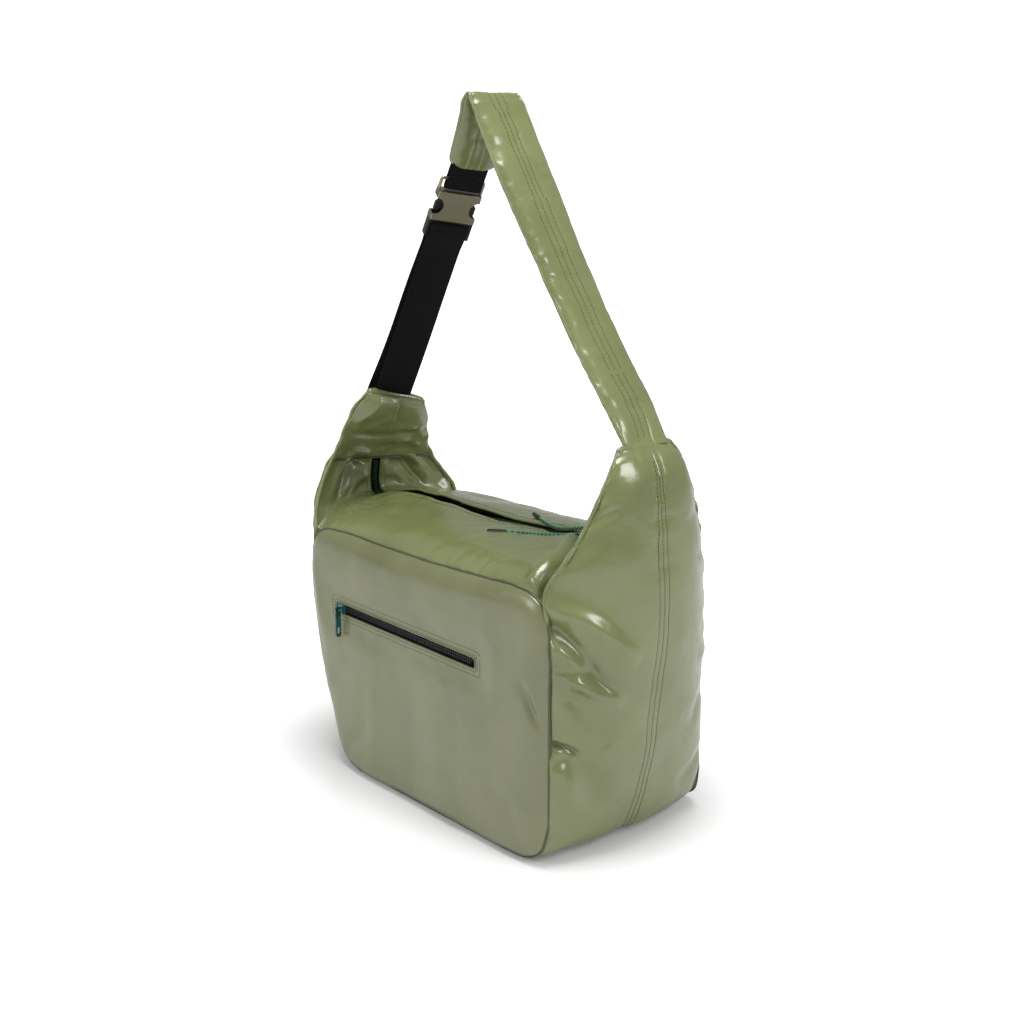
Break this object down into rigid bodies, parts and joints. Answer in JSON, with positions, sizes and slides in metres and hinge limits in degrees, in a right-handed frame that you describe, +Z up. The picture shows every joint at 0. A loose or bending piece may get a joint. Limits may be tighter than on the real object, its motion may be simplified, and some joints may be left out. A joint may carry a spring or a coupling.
{
  "type": "crossbody purse",
  "caption": "Soft padded crossbody purse with a front zip pocket, a zipped top between two strap horns, and a padded strap closed by a side-release buckle on webbing.",
  "frame": {"origin": "middle of the bag's base, on the surface it stands on", "axes": "+X to the right seen from the front, front faces -Y, +Z up"},
  "size_m": [0.4245, 0.2205, 0.659],
  "materials": {
    "shell_nylon": "glossy coated puffer nylon, olive green",
    "panel_nylon": "glossy coated puffer nylon, front panel",
    "piping_nylon": "bound seam in the same nylon",
    "lining_fabric": "woven polyester lining",
    "wadding": "polyester wadding",
    "zip_tape": "woven polyester zip tape",
    "zip_teeth": "moulded acetal teeth",
    "main_teeth": "nylon coil with green fleck",
    "teal_enamel": "gloss teal enamel on zinc",
    "slider_black": "black enamel on zinc",
    "braided_cord": "braided polyester cord, black with green and white",
    "cord_tip": "moulded black tip",
    "webbing": "black woven polyester webbing",
    "brushed_nickel": "brushed nickel-plated zinc",
    "buckle_acetal": "black moulded acetal"
  },
  "bodies": {
    "bag": {"gusset_front_half": "shell_nylon", "gusset_back_half": "shell_nylon", "top_front_panel": "shell_nylon", "top_back_panel": "shell_nylon", "right_horn_cap": "shell_nylon", "left_horn_cap": "shell_nylon", "right_rise_tapes": "zip_tape", "right_rise_teeth": "main_teeth", "left_rise_tapes": "zip_tape", "left_rise_teeth": "main_teeth", "lining": "lining_fabric", "front_panel": "panel_nylon", "back_panel": "shell_nylon", "front_piping": "piping_nylon", "back_piping": "piping_nylon", "front_pocket_bag": "lining_fabric", "back_slip_pocket": "shell_nylon", "front_zip_tape_upper": "zip_tape", "front_zip_tape_lower": "zip_tape", "front_zip_teeth_upper": "zip_teeth", "front_zip_teeth_lower": "zip_teeth", "front_zip_stops": "zip_teeth", "main_zip_tape_front": "zip_tape", "main_zip_tape_back": "zip_tape", "main_zip_teeth_front": "main_teeth", "main_zip_teeth_back": "main_teeth", "main_zip_stops": "main_teeth", "strap_stub": "shell_nylon", "webbing_stub": "webbing"},
    "front_slider": {"front_zip_slider": "teal_enamel", "front_zip_bail": "teal_enamel"},
    "front_puller": {"front_zip_puller": "teal_enamel"},
    "main_slider": {"main_zip_slider": "slider_black", "main_zip_bail": "slider_black"},
    "cord_pull": {"pull_cord_loop": "braided_cord", "pull_cord_long": "braided_cord", "pull_cord_short": "braided_cord", "cord_tip_long": "cord_tip", "cord_tip_short": "cord_tip"},
    "strap_base": {"strap_lower_pad": "shell_nylon", "lower_webbing": "webbing", "buckle_male_frame": "buckle_acetal"},
    "prong_front": {"buckle_prong_front": "buckle_acetal"},
    "prong_back": {"buckle_prong_back": "buckle_acetal"},
    "padded_strap": {"strap_cover": "shell_nylon", "strap_wadding": "wadding", "strap_short_pad": "shell_nylon", "upper_webbing_loop": "webbing", "buckle_ring": "brushed_nickel", "buckle_shell": "brushed_nickel"}
  },
  "joints": [
    {"name": "front_zip_slide", "type": "slide", "parent": "bag", "child": "front_slider", "axis": [1, 0, 0], "range_m": [0, 0.185]},
    {"name": "front_puller_hinge", "type": "hinge", "parent": "front_slider", "child": "front_puller", "pos_m": [-0.1162, -0.108, 0.167], "axis": [-1, 0, 0], "range_deg": [-4, 150]},
    {"name": "main_zip_slide", "type": "slide", "parent": "bag", "child": "main_slider", "axis": [-0.998, 0, -0.0634], "range_m": [0, 0.2]},
    {"name": "cord_pull_lift", "type": "hinge", "parent": "main_slider", "child": "cord_pull", "pos_m": [0.12926, 0, 0.27733], "axis": [0, 1, 0], "range_deg": [0, 90]},
    {"name": "strap_swing", "type": "hinge", "parent": "bag", "child": "strap_base", "pos_m": [0.188, 0, 0.371], "axis": [0.9991, 0, 0.042], "range_deg": [-30, 45]},
    {"name": "prong_front_press", "type": "hinge", "parent": "strap_base", "child": "prong_front", "pos_m": [-0.07325, -0.01269, 0.54139], "axis": [-0.8252, 0.342, 0.4496], "range_deg": [0, 4], "stiffness_Nm_per_rad": 0.4},
    {"name": "prong_back_press", "type": "hinge", "parent": "strap_base", "child": "prong_back", "pos_m": [-0.06514, 0.01269, 0.53697], "axis": [0.8252, -0.342, -0.4496], "range_deg": [0, 4], "stiffness_Nm_per_rad": 0.4},
    {"name": "strap_open", "type": "hinge", "parent": "strap_base", "child": "padded_strap", "pos_m": [0.1225, 0, 0.45113], "axis": [0, 1, 0], "range_deg": [0, 110]}
  ]
}
